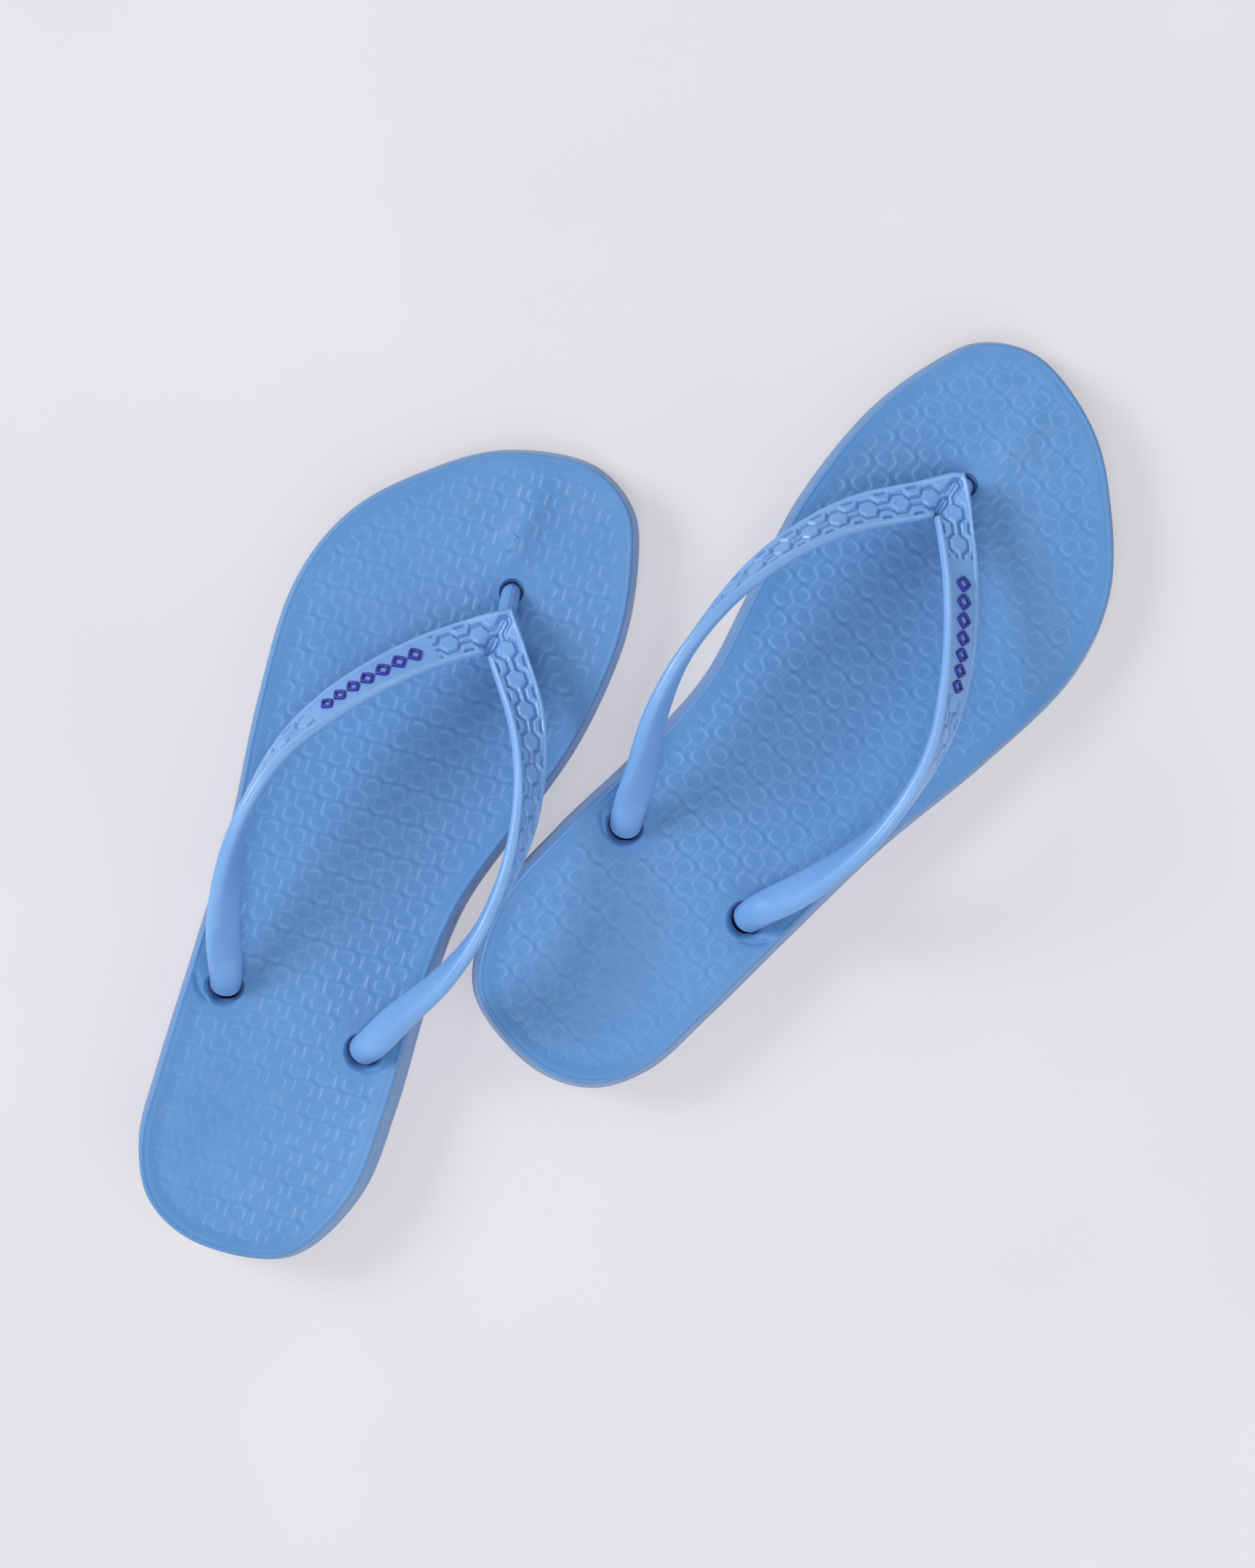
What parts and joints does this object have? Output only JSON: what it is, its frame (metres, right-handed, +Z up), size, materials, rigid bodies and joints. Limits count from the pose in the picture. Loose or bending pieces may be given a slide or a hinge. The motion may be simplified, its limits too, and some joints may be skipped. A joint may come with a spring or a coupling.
{
  "type": "pair of flip flops",
  "caption": "Flip flops with contoured one-piece soles, moulded Y straps plugged into the soles and a raised diamond trim on each outer arm.",
  "frame": {"origin": "centre of the pair's box, on the ground", "axes": "+Z up; +Y towards the toes, midway between the two sandals' directions; +X towards the right sandal"},
  "size_m": [0.205, 0.3418, 0.0501],
  "materials": {
    "sole": "mid-blue expanded PVC, satin, with a fine moulded emboss on the footbed",
    "strap": "light blue flexible PVC, soft satin, with moulded relief on its outer face",
    "trim": "navy flexible PVC, satin"
  },
  "bodies": {
    "right_sandal": {"right_sole": "sole", "right_strap": "strap", "right_strap_trim": "trim"},
    "left_sandal": {"left_sole": "sole", "left_strap": "strap", "left_strap_trim": "trim"}
  },
  "joints": [
    {"name": "left_lift", "type": "slide", "parent": "right_sandal", "child": "left_sandal", "axis": [0, 0, 1], "range_m": [0, 0.12]}
  ]
}
